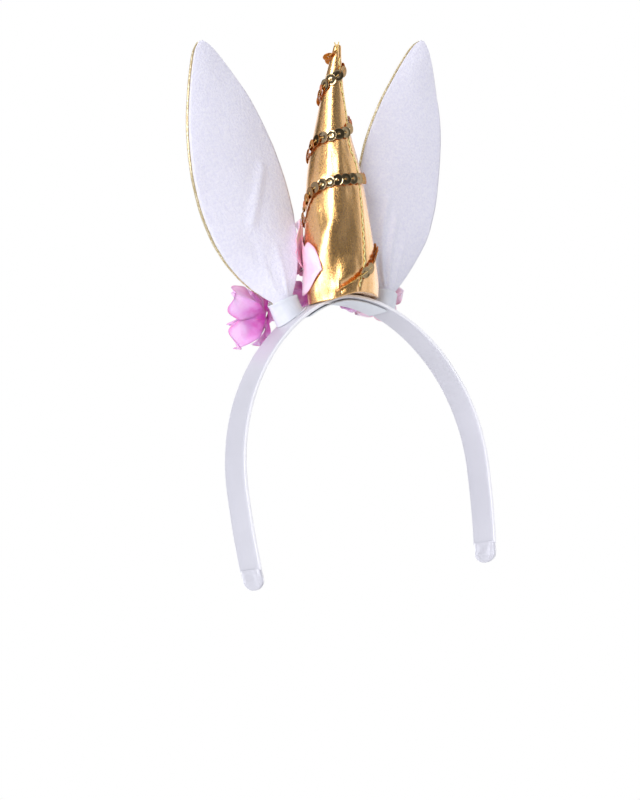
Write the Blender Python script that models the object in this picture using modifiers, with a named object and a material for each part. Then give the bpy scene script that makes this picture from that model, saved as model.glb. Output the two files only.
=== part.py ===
"""Unicorn horn headband: a satin-covered band with a stuffed gold horn, two felt ears and fabric flowers.

The band stands in the XZ plane. +Z is up, -Y is the wearer's front and +X the wearer's left.
The origin is the middle of the band's inner face at its top, where it sits on a head.
"""

import math
from collections import namedtuple

import bmesh
import bpy
import numpy as np
from mathutils import Matrix, Vector

MM = 0.001

# Fit between neighbours
CLEARANCE = 0.3 * MM

# Band: a strip bent to an arch, covered in satin
BAND_WIDTH = 17.5 * MM
BAND_THICKNESS = 2.3 * MM
BAND_INNER_HALF_SPAN = 75.7 * MM
BAND_CROWN_DEPTH = 91.0 * MM
BAND_HEIGHT = 142.0 * MM
BAND_TOE_IN = 3.2 * MM
BAND_EDGE_ROUND = 0.7 * MM
CROWN_SHARPNESS = 1.17

# Ribbon glued under the top of the band, over the ends of the horn and ears
LINING_WIDTH = 15.5 * MM
LINING_THICKNESS = 0.8 * MM
LINING_HALF_SPAN = 26.0 * MM
LINING_GAP = 0.45 * MM
LINING_STEPS = 10

# Gathered satin knots at the two ends of the band
TIP_LENGTH = 11.0 * MM
TIP_THICKNESS = 3.6 * MM
TIP_WIDTH_SHARE = 0.94
TIP_ROUND = 1.2 * MM

# Horn: a stuffed cone of gold fabric that sits astride the band
HORN_HEIGHT = 124.0 * MM
HORN_RADIUS = 19.4 * MM
HORN_DEPTH_SHARE = 0.84
HORN_ROUND_FROM = 0.55
HORN_SET_BACK = 4.0 * MM
HORN_LEAN_BACK = 11.0 * MM
HORN_CURL_BACK = 11.0 * MM
HORN_CURL_FROM = 0.52
HORN_OVERHANG_DROOP = 1.2 * MM
HORN_DROOP_REACH = 6.0 * MM
HORN_SEAT_GAP = 0.45 * MM
HORN_SADDLE_UNTIL = 0.35
HORN_SIDES = 24
HORN_SECTIONS = (
    # share of the height, share of the radius
    (0.00, 0.975),
    (0.05, 1.000),
    (0.16, 0.965),
    (0.29, 0.890),
    (0.39, 0.815),
    (0.48, 0.740),
    (0.56, 0.640),
    (0.64, 0.515),
    (0.72, 0.415),
    (0.80, 0.320),
    (0.88, 0.235),
    (0.95, 0.155),
    (1.00, 0.100),
)

# Sequins on a thread, wound up the horn
SEQUIN_DIAMETER = 6.0 * MM
SEQUIN_THICKNESS = 0.7 * MM
SEQUIN_PITCH = 4.3 * MM
SEQUIN_TILT = math.radians(7.0)
SEQUIN_SIDES = 10
SEQUIN_STAND_OFF = 0.75 * MM
STRING_TURNS = (
    # turns from the wearer's left side, share of the horn's height
    (0.15, 0.030),
    (0.22, 0.050),
    (0.29, 0.085),
    (0.40, 0.165),
    (0.65, 0.255),
    (0.92, 0.345),
    (0.98, 0.400),
    (1.04, 0.435),
    (1.15, 0.452),
    (1.33, 0.455),
    (1.65, 0.525),
    (1.94, 0.603),
    (2.04, 0.633),
    (2.26, 0.648),
    (2.35, 0.675),
    (2.90, 0.820),
    (3.14, 0.873),
    (3.40, 0.907),
    (3.90, 0.962),
    (4.17, 0.980),
)

# Ears: white felt at the back, a gold glitter layer at the front
EAR_FELT_THICKNESS = 1.6 * MM
EAR_GLITTER_THICKNESS = 1.1 * MM
EAR_BOW = 7.0 * MM
EAR_CUP = 3.0 * MM
EAR_PINCH = 2.2 * MM
EAR_PINCH_UNTIL = 0.35
EAR_TWIST = math.radians(16.0)
EAR_TWIST_UNTIL = 0.30
EAR_COLUMNS = 6
EAR_SECTIONS = (
    # share of the length above the band, share of the greatest half width
    (-0.040, 0.200),
    (0.035, 0.205),
    (0.072, 0.215),
    (0.100, 0.330),
    (0.140, 0.500),
    (0.205, 0.700),
    (0.275, 0.860),
    (0.350, 0.960),
    (0.450, 1.000),
    (0.560, 0.970),
    (0.640, 0.900),
    (0.710, 0.810),
    (0.770, 0.710),
    (0.830, 0.580),
    (0.890, 0.440),
    (0.945, 0.290),
    (0.980, 0.170),
    (1.000, 0.050),
)
EAR_HALF_WIDTH = 28.0 * MM
EAR_FOOT_SPREAD = 31.0 * MM
EAR_TIP_SPREAD = 70.0 * MM
EAR_TIP_HEIGHT = 133.8 * MM
EAR_TIP_BACK = 5.5 * MM
Ear = namedtuple("Ear", "side width foot spread height bulge")
EARS = {
    # direction along X, then shares of the half width, foot spread, tip spread and tip height, and the
    # outward bulge of the middle line as a share of the half width
    "left": Ear(1.0, 1.0, 1.0, 1.0, 1.0, 0.0),
    "right": Ear(-1.0, 0.914, 0.952, 1.014, 1.004, 0.054),
}

# White ribbon wrapped round the foot of each ear
TAB_WALL = 0.8 * MM
TAB_TOP = 0.070
TAB_HALF_DEPTH = 3.3 * MM
TAB_WIDTH_SHARE = 1.2
TAB_SQUARENESS = 0.7
TAB_SIDES = 16
TAB_ROWS = 3

# Flowers: cut fabric petals in layers round a small centre
PETAL_THICKNESS = 0.6 * MM
PETALS = 5
PETAL_STEPS = 5
PETAL_WAVE = 0.05
WAVES_PER_PETAL = 2
PETAL_BLUNTNESS = 0.5
PETAL_CURL = 1.8
INNER_NOTCH = 0.5
OUTER_RINGS = 3
INNER_RINGS = 2
LAYER_GAP = 1.4 * MM
FLOWER_CENTRE_RADIUS = 2.2 * MM
FLOWER_CENTRE_SEAT = 3.2 * MM
FLOWER_EYE = 0.08
PETAL_LENGTH = 20.0 * MM
FLOWER_STAND_OFF = 1.0 * MM
Flower = namedtuple("Flower", "seat place facing colour petal inner spin notch lift inner_lift lengths")
# seat names what carries the flower. On an ear, place is outward, forward of the band's front edge and up
# from the ear's foot, in shares of the petal length. On the horn, it is the turn from the wearer's left
# and the share of the horn's height, and a flower with no facing is wrapped round the horn. petal and
# inner are the reach of the two layers as shares of the petal length, and spin is in degrees. The rest
# are shares of the layer's reach: notch is the depth between petals, lift cups them, and lengths are
# those of the outer petals in turn.
FLOWERS = {
    "left_outer": Flower("left", (0.265, 0.235, 0.170), (0.60, -0.76, 0.22), "orchid", 1.15, 0.70,
                         14.0, 0.60, 0.40, 0.85, (1.0, 0.95, 1.0, 0.9, 1.0)),
    "left_inner": Flower("horn", (-0.140, 0.165), None, "blush", 1.35, 0.375,
                         -18.0, 0.40, 0.05, 0.35, (1.0, 0.77, 0.53, 0.34, 0.38)),
    "middle": Flower("horn", (-0.195, 0.020), (0.25, -0.96, 0.05), "orchid", 0.70, 0.45,
                     18.0, 0.50, 0.45, 0.90, (1.0, 0.9, 1.0, 1.0, 0.95)),
    "right_inner": Flower("horn", (-0.365, 0.050), (-0.60, -0.80, 0.05), "orchid", 0.70, 0.45,
                          -12.0, 0.50, 0.45, 0.90, (0.95, 1.0, 0.9, 1.0, 1.0)),
    "right_outer": Flower("right", (0.275, 0.093, 0.380), (-0.50, -0.84, 0.20), "blush", 0.75, 0.55,
                          30.0, 0.50, 0.40, 0.90, (0.95, 1.0, 0.9, 1.0, 1.0)),
}

# How finely the curves are followed
ARCH_SAMPLES = 241
BAND_STEPS = 38
STRING_SAMPLES = 1200
UNDERSIDE_RINGS = 3
HORN_MIDDLE = 0.10
CENTRE_SIDES = 8
SHARP_ANGLE = math.radians(40.0)
WELD = 0.01 * MM
PROBE = 0.0005
PROBE_LENGTH = 0.2 * MM

# Cutter that shapes the feet of the ears and their ribbons to the band
SEAT_HALF_SPAN = 0.8 * BAND_INNER_HALF_SPAN
SEAT_STEPS = 61
SEAT_DEPTH = BAND_CROWN_DEPTH
SEAT_HALF_WIDTH = 1.5 * BAND_WIDTH

COLOURS = {
    # name: (base colour, roughness, metallic)
    "satin": ((0.86, 0.86, 0.90, 1.0), 0.35, 0.0),
    "ribbon": ((0.88, 0.90, 0.91, 1.0), 0.50, 0.0),
    "gold": ((0.90, 0.62, 0.20, 1.0), 0.28, 1.0),
    "sequin": ((0.95, 0.55, 0.12, 1.0), 0.12, 1.0),
    "felt": ((0.86, 0.85, 0.92, 1.0), 0.95, 0.0),
    "glitter": ((0.80, 0.66, 0.36, 1.0), 0.45, 0.6),
    "orchid": ((0.85, 0.38, 0.80, 1.0), 0.75, 0.0),
    "blush": ((0.97, 0.76, 0.86, 1.0), 0.75, 0.0),
}


def material(name):
    """A Principled material with a colour from the table, made once."""
    if name in bpy.data.materials:
        return bpy.data.materials[name]
    colour, roughness, metallic = COLOURS[name]
    made = bpy.data.materials.new(name)
    made.use_nodes = True
    shader = made.node_tree.nodes["Principled BSDF"]
    shader.inputs["Base Color"].default_value = colour
    shader.inputs["Roughness"].default_value = roughness
    shader.inputs["Metallic"].default_value = metallic
    made.diffuse_color = colour
    return made


def add_object(name, mesh, collection, colour):
    piece = bpy.data.objects.new(name, mesh)
    mesh.materials.append(material(colour))
    mesh.shade_smooth()
    mesh.set_sharp_from_angle(angle=SHARP_ANGLE)
    collection.objects.link(piece)
    return piece


def solidify(piece, thickness):
    wall = piece.modifiers.new("wall", "SOLIDIFY")
    wall.thickness = thickness
    wall.offset = 0.0
    wall.use_even_offset = True


def cut(piece, cutter):
    saw = piece.modifiers.new("cut", "BOOLEAN")
    saw.operation = "DIFFERENCE"
    saw.object = cutter


def sheet_mesh(name, columns, rows, surface, closed=False):
    """A grid bent to surface(u, v), with u and v from 0 to 1. If closed, its first and last columns meet."""
    bm = bmesh.new()
    bmesh.ops.create_grid(bm, x_segments=columns, y_segments=rows, size=0.5)
    for vert in bm.verts:
        vert.co = surface(vert.co.x + 0.5, vert.co.y + 0.5)
    if closed:
        bmesh.ops.remove_doubles(bm, verts=bm.verts, dist=WELD)
    mesh = bpy.data.meshes.new(name)
    bm.to_mesh(mesh)
    bm.free()
    return mesh


def offset_surface(surface, distance):
    """The surface moved along its own normal, which is the cross product of its u and v directions."""

    def moved(u, v):
        du = surface(u + PROBE, v) - surface(u - PROBE, v)
        dv = surface(u, v + PROBE) - surface(u, v - PROBE)
        return surface(u, v) + du.cross(dv).normalized() * distance

    return moved


def arch_line():
    """Points (distance along the arch, x, z) of the band's inner face, from the crown to the left end."""
    turn = np.linspace(0.0, math.pi / 2, ARCH_SAMPLES)
    drop = np.linspace(0.0, 1.0, ARCH_SAMPLES)[1:]
    x = np.concatenate([BAND_INNER_HALF_SPAN * np.sin(turn) ** CROWN_SHARPNESS,
                        BAND_INNER_HALF_SPAN - BAND_TOE_IN * drop ** 2])
    z = -np.concatenate([BAND_CROWN_DEPTH * (1.0 - np.cos(turn)),
                         BAND_CROWN_DEPTH + (BAND_HEIGHT - BAND_CROWN_DEPTH) * drop])
    steps = np.hypot(np.diff(x), np.diff(z))
    return np.concatenate([[0.0], np.cumsum(steps)]), x, z


ARCH_ALONG, ARCH_X, ARCH_Z = arch_line()
ARCH_LENGTH = ARCH_ALONG[-1]


def arch_point(along, y, out):
    """A point at a signed distance along the arch, y across the band and out from its inner face."""
    side = 1.0 if along >= 0.0 else -1.0
    here = min(abs(along), ARCH_LENGTH - PROBE_LENGTH)
    ahead = here + PROBE_LENGTH
    x, z = np.interp(here, ARCH_ALONG, ARCH_X), np.interp(here, ARCH_ALONG, ARCH_Z)
    dx = np.interp(ahead, ARCH_ALONG, ARCH_X) - x
    dz = np.interp(ahead, ARCH_ALONG, ARCH_Z) - z
    size = math.hypot(dx, dz)
    return Vector((side * (x - out * dz / size), y, z + out * dx / size))


def arch_height(x, out):
    """The height of the face that lies out from the band's inner face, at x from the middle."""
    along = np.interp(abs(x), ARCH_X[:ARCH_SAMPLES], ARCH_ALONG[:ARCH_SAMPLES])
    point = arch_point(along, 0.0, out)
    slope = arch_point(along + PROBE_LENGTH, 0.0, out) - point
    return point.z + (abs(x) - point.x) * slope.z / slope.x


def make_band(collection):
    half_length = ARCH_LENGTH - TIP_LENGTH

    def surface(u, v):
        along = (2.0 * u - 1.0) * half_length
        return arch_point(along, (v - 0.5) * BAND_WIDTH, BAND_THICKNESS / 2)

    mesh = sheet_mesh("headband", BAND_STEPS, 1, surface)
    band = add_object("headband", mesh, collection, "satin")
    solidify(band, BAND_THICKNESS)
    edge = band.modifiers.new("edge", "BEVEL")
    edge.width = BAND_EDGE_ROUND
    edge.segments = 1
    edge.limit_method = "ANGLE"


def make_lining(collection):
    middle = -LINING_GAP - LINING_THICKNESS / 2

    def surface(u, v):
        return arch_point((2.0 * u - 1.0) * LINING_HALF_SPAN, (v - 0.5) * LINING_WIDTH, middle)

    mesh = sheet_mesh("ribbon_lining", LINING_STEPS, 1, surface)
    solidify(add_object("ribbon_lining", mesh, collection, "ribbon"), LINING_THICKNESS)


def make_band_end(name, side, collection):
    """The gathered satin over one end of the band."""
    top = arch_point(side * (ARCH_LENGTH - TIP_LENGTH + CLEARANCE), 0.0, BAND_THICKNESS / 2)
    bottom = arch_point(side * ARCH_LENGTH, 0.0, BAND_THICKNESS / 2)
    bm = bmesh.new()
    bmesh.ops.create_cube(bm, size=1.0)
    size = (TIP_THICKNESS, BAND_WIDTH * TIP_WIDTH_SHARE, (top - bottom).length)
    bmesh.ops.scale(bm, vec=size, verts=bm.verts)
    bmesh.ops.bevel(bm, geom=bm.edges[:], offset=TIP_ROUND, segments=2, profile=0.5, affect="EDGES")
    mesh = bpy.data.meshes.new(name)
    bm.to_mesh(mesh)
    bm.free()
    end = add_object(name, mesh, collection, "satin")
    end.location = (top + bottom) / 2
    end.rotation_euler.y = math.atan2(top.x - bottom.x, top.z - bottom.z)


def make_seat_cutter(collection):
    """The space under the band's outer face and its clearance, wide enough for what stands on the band."""
    reach = np.linspace(-SEAT_HALF_SPAN, SEAT_HALF_SPAN, SEAT_STEPS)
    outline = [(x, arch_height(x, BAND_THICKNESS + CLEARANCE)) for x in reach]
    outline += [(SEAT_HALF_SPAN, -SEAT_DEPTH), (-SEAT_HALF_SPAN, -SEAT_DEPTH)]
    curve = bpy.data.curves.new("seat_outline", "CURVE")
    curve.dimensions = "2D"
    curve.fill_mode = "BOTH"
    curve.extrude = SEAT_HALF_WIDTH
    spline = curve.splines.new("POLY")
    spline.points.add(len(outline) - 1)
    for point, (x, z) in zip(spline.points, outline):
        point.co = (x, z, 0.0, 1.0)
    spline.use_cyclic_u = True
    drawn = bpy.data.objects.new("seat_outline", curve)
    collection.objects.link(drawn)
    drawn.rotation_euler.x = math.pi / 2
    bpy.context.view_layer.update()
    mesh = bpy.data.meshes.new_from_object(drawn.evaluated_get(bpy.context.evaluated_depsgraph_get()))
    bm = bmesh.new()
    bm.from_mesh(mesh)
    bmesh.ops.remove_doubles(bm, verts=bm.verts, dist=WELD)
    bm.to_mesh(mesh)
    bm.free()
    cutter = bpy.data.objects.new("seat_cutter", mesh)
    cutter.matrix_world = drawn.matrix_world
    collection.objects.link(cutter)
    bpy.data.objects.remove(drawn)
    hide_helper(cutter)
    return cutter


def hide_helper(helper):
    helper.hide_render = True
    helper.display_type = "WIRE"


def horn_centre(share):
    """The middle of the horn at a share of its height: it leans back and its tip curls back."""
    curl = max(0.0, share - HORN_CURL_FROM) / (1.0 - HORN_CURL_FROM)
    y = HORN_SET_BACK + HORN_LEAN_BACK * share + HORN_CURL_BACK * curl ** 2
    return Vector((0.0, y, BAND_THICKNESS + HORN_HEIGHT * share))


def horn_radii(share):
    """The horn's half widths along X and Y, which turn from an oval foot to a round tip."""
    shares, sizes = zip(*HORN_SECTIONS)
    across = HORN_RADIUS * np.interp(share, shares, sizes)
    roundness = min(1.0, share / HORN_ROUND_FROM)
    return across, across * (HORN_DEPTH_SHARE + (1.0 - HORN_DEPTH_SHARE) * roundness)


def horn_foot_height(x, y):
    """The underside of the horn: it follows the band and droops past the band's edges."""
    past = min(1.0, max(0.0, abs(y) - BAND_WIDTH / 2) / HORN_DROOP_REACH)
    return arch_height(x, BAND_THICKNESS + HORN_SEAT_GAP) - HORN_OVERHANG_DROOP * past


def horn_point(turn, share):
    """A point on the horn's side, at a turn counted from the wearer's left towards the back."""
    centre = horn_centre(share)
    across, deep = horn_radii(share)
    x = across * math.cos(math.tau * turn)
    y = centre.y + deep * math.sin(math.tau * turn)
    saddle = max(0.0, 1.0 - share / HORN_SADDLE_UNTIL)
    foot = horn_foot_height(x, y) - horn_foot_height(0.0, 0.0)
    return Vector((x, y, centre.z + HORN_SEAT_GAP + foot * saddle))


def horn_underside_point(turn, share):
    """A point on the horn's underside, at a share of the way from its middle to its rim."""
    rim = horn_point(turn, 0.0)
    middle = horn_centre(0.0)
    x = rim.x * share
    y = middle.y + (rim.y - middle.y) * share
    return Vector((x, y, horn_foot_height(x, y)))


def make_horn(collection):
    shares = [share for share, size in HORN_SECTIONS]
    side_from = UNDERSIDE_RINGS / (UNDERSIDE_RINGS + len(shares) - 1)

    def surface(u, v):
        if v < side_from:
            return horn_underside_point(u, HORN_MIDDLE + (1.0 - HORN_MIDDLE) * v / side_from)
        place = (v - side_from) / (1.0 - side_from) * (len(shares) - 1)
        return horn_point(u, float(np.interp(place, range(len(shares)), shares)))

    rows = UNDERSIDE_RINGS + len(shares) - 1
    mesh = sheet_mesh("horn", HORN_SIDES, rows, surface, closed=True)
    bm = bmesh.new()
    bm.from_mesh(mesh)
    bmesh.ops.holes_fill(bm, edges=[edge for edge in bm.edges if edge.is_boundary])
    bmesh.ops.recalc_face_normals(bm, faces=bm.faces)
    bm.to_mesh(mesh)
    bm.free()
    add_object("horn", mesh, collection, "gold")


def string_point(turn):
    """The middle of a sequin on the horn's side, after a number of turns, and the way out of the horn."""
    turns, shares = zip(*STRING_TURNS)
    share = float(np.interp(turn, turns, shares))
    normal = horn_normal(turn, share)
    return horn_point(turn, share) + normal * (SEQUIN_STAND_OFF + SEQUIN_THICKNESS / 2), normal


def string_places():
    """Turns at which a sequin sits, one pitch apart along the thread."""
    turns = np.linspace(STRING_TURNS[0][0], STRING_TURNS[-1][0], STRING_SAMPLES)
    points = [string_point(turn)[0] for turn in turns]
    along = np.concatenate([[0.0], np.cumsum([(b - a).length for a, b in zip(points, points[1:])])])
    count = int(along[-1] / SEQUIN_PITCH)
    return np.interp(np.arange(count + 1) * SEQUIN_PITCH, along, turns)


def horn_normal(turn, share):
    around = horn_point(turn + PROBE, share) - horn_point(turn - PROBE, share)
    up = horn_point(turn, min(1.0, share + PROBE)) - horn_point(turn, max(0.0, share - PROBE))
    return around.cross(up).normalized()


def make_sequin_string(collection, helpers):
    """Overlapping sequins wound up the horn, joined into one string."""
    sequins = bpy.data.collections.new("sequins")
    helpers.children.link(sequins)
    first = None
    for number, turn in enumerate(string_places()):
        centre, normal = string_point(turn)
        along = (string_point(turn + PROBE)[0] - centre).normalized()
        across = normal.cross(along).normalized()
        along = across.cross(normal)
        face = Matrix.Rotation(SEQUIN_TILT, 3, across) @ Matrix((along, across, normal)).transposed()
        bm = bmesh.new()
        bmesh.ops.create_cone(bm, segments=SEQUIN_SIDES, radius1=SEQUIN_DIAMETER / 2,
                              radius2=SEQUIN_DIAMETER / 2, depth=SEQUIN_THICKNESS, cap_ends=True)
        bmesh.ops.transform(bm, matrix=Matrix.Translation(centre) @ face.to_4x4(), verts=bm.verts)
        name = "sequin_string" if number == 0 else f"sequin_{number}"
        mesh = bpy.data.meshes.new(name)
        bm.to_mesh(mesh)
        bm.free()
        if number == 0:
            first = add_object(name, mesh, collection, "sequin")
        else:
            hide_helper(add_object(name, mesh, sequins, "sequin"))
    join = first.modifiers.new("join", "BOOLEAN")
    join.operation = "UNION"
    join.operand_type = "COLLECTION"
    join.collection = sequins


def ear_foot(ear):
    out = EAR_FOOT_SPREAD * ear.foot
    return Vector((ear.side * out, 0.0, arch_height(out, BAND_THICKNESS + CLEARANCE)))


def ear_frame(ear, share):
    """The ear's middle line at a share of its length: its point, outward direction and back normal."""
    side = ear.side
    foot = ear_foot(ear)
    tip = Vector((side * EAR_TIP_SPREAD * ear.spread, 0.0, EAR_TIP_HEIGHT * ear.height))
    rise = (tip - foot).normalized()
    bow = -EAR_BOW * math.sin(math.pi * share) * (1.0 - share)
    bulge = side * EAR_HALF_WIDTH * ear.bulge * math.sin(math.pi * share)
    middle = foot.lerp(tip, share) + Vector((bulge, EAR_TIP_BACK * share + bow, 0.0))
    flat_out = Vector((side * rise.z, 0.0, -side * rise.x))
    twist = EAR_TWIST * max(0.0, 1.0 - share / EAR_TWIST_UNTIL)
    back = Vector((0.0, 1.0, 0.0))
    outward = flat_out * math.cos(twist) - back * math.sin(twist)
    return middle, outward, back * math.cos(twist) + flat_out * math.sin(twist)


def ear_surface(ear):
    """The middle of one ear's thickness: u runs from right to left and v from its foot to its tip."""
    shares, widths = zip(*EAR_SECTIONS)

    def surface(u, v):
        place = v * (len(shares) - 1)
        share = float(np.interp(place, range(len(shares)), shares))
        width = float(np.interp(place, range(len(shares)), widths))
        middle, outward, back = ear_frame(ear, share)
        across = ear.side * (2.0 * u - 1.0)
        pinch = EAR_PINCH * max(0.0, 1.0 - share / EAR_PINCH_UNTIL)
        forward = (EAR_CUP * width + pinch) * across ** 2
        return middle + outward * EAR_HALF_WIDTH * ear.width * width * across - back * forward

    return surface


def make_ear(name, collection, cutter):
    """The felt at the back and the glitter layer at the front, either side of one middle surface."""
    middle = ear_surface(EARS[name])
    rows = len(EAR_SECTIONS) - 1
    layers = (
        ("ear_felt_", "felt", EAR_FELT_THICKNESS, -(CLEARANCE + EAR_FELT_THICKNESS) / 2),
        ("ear_glitter_", "glitter", EAR_GLITTER_THICKNESS, (CLEARANCE + EAR_GLITTER_THICKNESS) / 2),
    )
    for prefix, colour, thickness, forward in layers:
        mesh = sheet_mesh(prefix + name, EAR_COLUMNS, rows, offset_surface(middle, forward))
        layer = add_object(prefix + name, mesh, collection, colour)
        solidify(layer, thickness)
        cut(layer, cutter)


def make_tab(name, collection, cutter):
    """A sleeve of ribbon round the foot of one ear."""
    middle = ear_surface(EARS[name])
    top = float(np.interp(TAB_TOP, [share for share, width in EAR_SECTIONS], range(len(EAR_SECTIONS))))
    top /= len(EAR_SECTIONS) - 1

    def surface(u, v):
        turn = math.tau * u
        across = math.copysign(abs(math.cos(turn)) ** TAB_SQUARENESS, math.cos(turn)) * TAB_WIDTH_SHARE
        forward = math.copysign(abs(math.sin(turn)) ** TAB_SQUARENESS, math.sin(turn)) * TAB_HALF_DEPTH
        return offset_surface(middle, forward)(0.5 + across / 2, v * top)

    mesh = sheet_mesh("ear_tab_" + name, TAB_SIDES, TAB_ROWS, surface, closed=True)
    tab = add_object("ear_tab_" + name, mesh, collection, "ribbon")
    solidify(tab, TAB_WALL)
    cut(tab, cutter)


def flower_seat(flower):
    """Where the middle of a flower's back lies."""
    if flower.seat == "horn":
        return horn_point(*flower.place) + horn_normal(*flower.place) * FLOWER_STAND_OFF
    ear = EARS[flower.seat]
    outward, forward, up = (PETAL_LENGTH * share for share in flower.place)
    return ear_foot(ear) + Vector((ear.side * outward, -BAND_WIDTH / 2 - forward, up))


def flower_point(flower, across, up, out):
    """A point on a flower: across and up in its own plane, and out the way that it faces."""
    if flower.facing is None:
        turn = flower.place[0] + across / (math.tau * HORN_RADIUS)
        share = flower.place[1] + up / HORN_HEIGHT
        return horn_point(turn, share) + horn_normal(turn, share) * (FLOWER_STAND_OFF + out)
    turn_to_face = Vector(flower.facing).to_track_quat("Z", "Y")
    return flower_seat(flower) + turn_to_face @ Vector((across, up, out))


def make_petals(name, flower, size, spin, notch, lift, lengths, rings, seat, collection):
    """One layer of petals: a lobed sheet, cupped towards the way that the flower faces."""
    lengths = (*lengths, lengths[0])

    def surface(u, v):
        petal_turn = (u - math.radians(spin) / math.tau) * PETALS % PETALS
        lobe = abs(math.cos(math.pi * petal_turn)) ** PETAL_BLUNTNESS
        reach = (1.0 - notch + notch * lobe) * float(np.interp(petal_turn, range(PETALS + 1), lengths))
        share = reach * (FLOWER_EYE + (1.0 - FLOWER_EYE) * v)
        wave = PETAL_WAVE * math.cos(math.tau * WAVES_PER_PETAL * petal_turn)
        out = seat + size * (lift * share ** PETAL_CURL + wave * share ** 2)
        across, up = math.cos(math.tau * u), math.sin(math.tau * u)
        return flower_point(flower, across * share * size, up * share * size, out)

    mesh = sheet_mesh(name, PETALS * PETAL_STEPS, rings, surface, closed=True)
    solidify(add_object(name, mesh, collection, flower.colour), PETAL_THICKNESS)


def make_flower(name, collection):
    flower = FLOWERS[name]
    make_petals(f"flower_{name}_outer_petals", flower, flower.petal * PETAL_LENGTH, flower.spin, flower.notch,
                flower.lift, flower.lengths, OUTER_RINGS, 0.0, collection)
    between = flower.spin + math.degrees(math.pi / PETALS)
    make_petals(f"flower_{name}_inner_petals", flower, flower.inner * PETAL_LENGTH, between,
                INNER_NOTCH, flower.inner_lift, (1.0,) * PETALS, INNER_RINGS, LAYER_GAP, collection)
    bm = bmesh.new()
    bmesh.ops.create_uvsphere(bm, u_segments=CENTRE_SIDES, v_segments=CENTRE_SIDES // 2,
                              radius=FLOWER_CENTRE_RADIUS)
    mesh = bpy.data.meshes.new(f"flower_{name}_centre")
    bm.to_mesh(mesh)
    bm.free()
    centre = add_object(f"flower_{name}_centre", mesh, collection, flower.colour)
    centre.location = flower_point(flower, 0.0, 0.0, LAYER_GAP + FLOWER_CENTRE_SEAT)


def main():
    for leftover in list(bpy.data.objects):
        bpy.data.objects.remove(leftover)
    headband = bpy.data.collections.new("unicorn_horn_headband")
    helpers = bpy.data.collections.new("cutters")
    for collection in (headband, helpers):
        bpy.context.scene.collection.children.link(collection)
    seat = make_seat_cutter(helpers)
    make_band(headband)
    make_lining(headband)
    make_band_end("band_end_left", 1.0, headband)
    make_band_end("band_end_right", -1.0, headband)
    make_horn(headband)
    make_sequin_string(headband, helpers)
    for name in EARS:
        make_ear(name, headband, seat)
        make_tab(name, headband, seat)
    for name in FLOWERS:
        make_flower(name, headband)


main()
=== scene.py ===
"""Looks of the unicorn horn headband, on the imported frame.

Metres, with +Z up, -Y the wearer's front and +X the wearer's left. A place on the horn is a turn, counted
from the wearer's left towards the back, and a share of its height. A place along the band is a distance
from the top of its arch.
"""

import math
from collections import namedtuple

import bmesh
import bpy
import numpy as np
from mathutils import Matrix, Vector, noise


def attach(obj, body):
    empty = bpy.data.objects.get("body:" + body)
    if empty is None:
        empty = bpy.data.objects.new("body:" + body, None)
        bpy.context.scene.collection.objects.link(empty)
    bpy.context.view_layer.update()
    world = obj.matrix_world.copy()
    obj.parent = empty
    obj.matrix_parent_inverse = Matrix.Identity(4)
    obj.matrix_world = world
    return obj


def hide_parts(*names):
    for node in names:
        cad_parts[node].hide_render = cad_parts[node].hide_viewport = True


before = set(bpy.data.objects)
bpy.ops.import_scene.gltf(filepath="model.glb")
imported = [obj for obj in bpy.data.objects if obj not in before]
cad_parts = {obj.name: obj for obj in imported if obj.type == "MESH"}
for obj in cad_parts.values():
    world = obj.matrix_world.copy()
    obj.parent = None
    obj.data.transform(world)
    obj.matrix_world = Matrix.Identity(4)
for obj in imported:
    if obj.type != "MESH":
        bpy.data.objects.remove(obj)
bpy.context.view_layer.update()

MM = 0.001

# Band, as in the part
BAND_WIDTH = 17.5 * MM
BAND_THICKNESS = 2.3 * MM
BAND_INNER_HALF_SPAN = 75.7 * MM
BAND_CROWN_DEPTH = 91.0 * MM
BAND_HEIGHT = 142.0 * MM
BAND_TOE_IN = 3.2 * MM
CROWN_SHARPNESS = 1.17
ARCH_SAMPLES = 241
PROBE_LENGTH = 0.2 * MM
CLEARANCE = 0.3 * MM

SLEEVE_LAP = 1.0 * MM
SLEEVE_SLACK = 0.10
SLEEVE_WRINKLE = 9.0 * MM
SLEEVE_FINE_WRINKLE = 3.5 * MM
SLEEVE_WIDTH_POWER = 0.22
SLEEVE_BULGE_POWER = 0.5

# Ribbon under the top of the band
LINING_WIDTH = 15.5 * MM
LINING_THICKNESS = 0.8 * MM
LINING_HALF_SPAN = 26.0 * MM
LINING_GAP = 0.45 * MM
LINING_WALL = 0.6 * MM

# Gathered ends of the band
TIP_LENGTH = 11.0 * MM
TIP_THICKNESS = 3.6 * MM
TIP_HALF_WIDTH_SHARE = 0.47
TIP_CLOSE_FROM = 0.55
TIP_CLOSE_OVER = 0.45
TIP_GATHERS = 9.0
TIP_GATHER_TWIST = 3.0
TIP_GATHER_DEPTH = 0.16
TIP_PUCKER_SIZE = 2.6 * MM
TIP_PUCKER_DEPTH = 0.45 * MM

# Horn, as in the part
HORN_HEIGHT = 124.0 * MM
HORN_RADIUS = 19.4 * MM
HORN_DEPTH_SHARE = 0.84
HORN_ROUND_FROM = 0.55
HORN_SET_BACK = 4.0 * MM
HORN_LEAN_BACK = 11.0 * MM
HORN_CURL_BACK = 11.0 * MM
HORN_CURL_FROM = 0.52
HORN_OVERHANG_DROOP = 1.2 * MM
HORN_DROOP_REACH = 6.0 * MM
HORN_SEAT_GAP = 0.45 * MM
HORN_SADDLE_UNTIL = 0.35
HORN_SECTIONS = (
    # share of the height, share of the radius
    (0.00, 0.975),
    (0.05, 1.000),
    (0.16, 0.965),
    (0.29, 0.890),
    (0.39, 0.815),
    (0.48, 0.740),
    (0.56, 0.640),
    (0.64, 0.515),
    (0.72, 0.415),
    (0.80, 0.320),
    (0.88, 0.235),
    (0.95, 0.155),
    (1.00, 0.100),
)

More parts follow.
